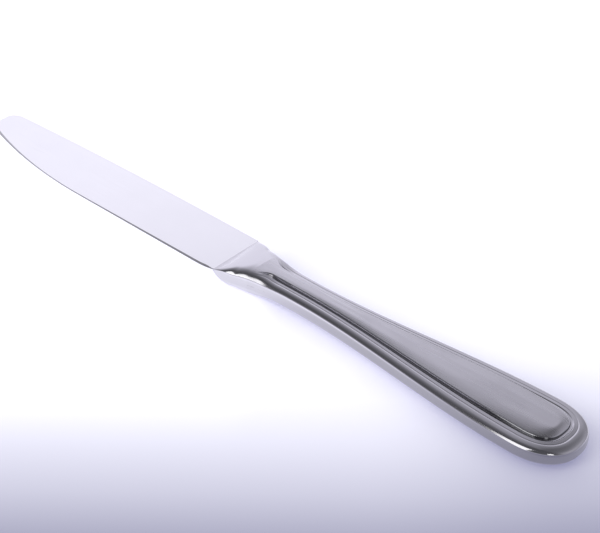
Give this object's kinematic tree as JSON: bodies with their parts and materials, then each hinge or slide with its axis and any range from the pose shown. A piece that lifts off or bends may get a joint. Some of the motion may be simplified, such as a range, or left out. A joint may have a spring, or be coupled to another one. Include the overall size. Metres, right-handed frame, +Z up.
{
  "type": "dessert knife",
  "caption": "Dessert knife with a round-tipped straight blade, a flared bolster and a hollow handle with a raised panel inside a threaded border.",
  "frame": {"origin": "under the middle of the knife's bounding box, on the surface that it lies on", "axes": "+X from the tip of the blade to the butt of the handle, +Y towards the spine, +Z up from the lower handle panel"},
  "size_m": [0.21, 0.0196, 0.0082],
  "materials": {
    "blade_steel": "polished stainless steel",
    "handle_steel": "polished stainless steel, satin with fine wear on the panels",
    "solder": "silver solder, left as it flowed",
    "cement": "mineral-filled handle cement"
  },
  "bodies": {
    "root": {"blade": "blade_steel", "upper_shell": "handle_steel", "lower_shell": "handle_steel", "seam_solder": "solder", "handle_cement": "cement"}
  },
  "joints": []
}
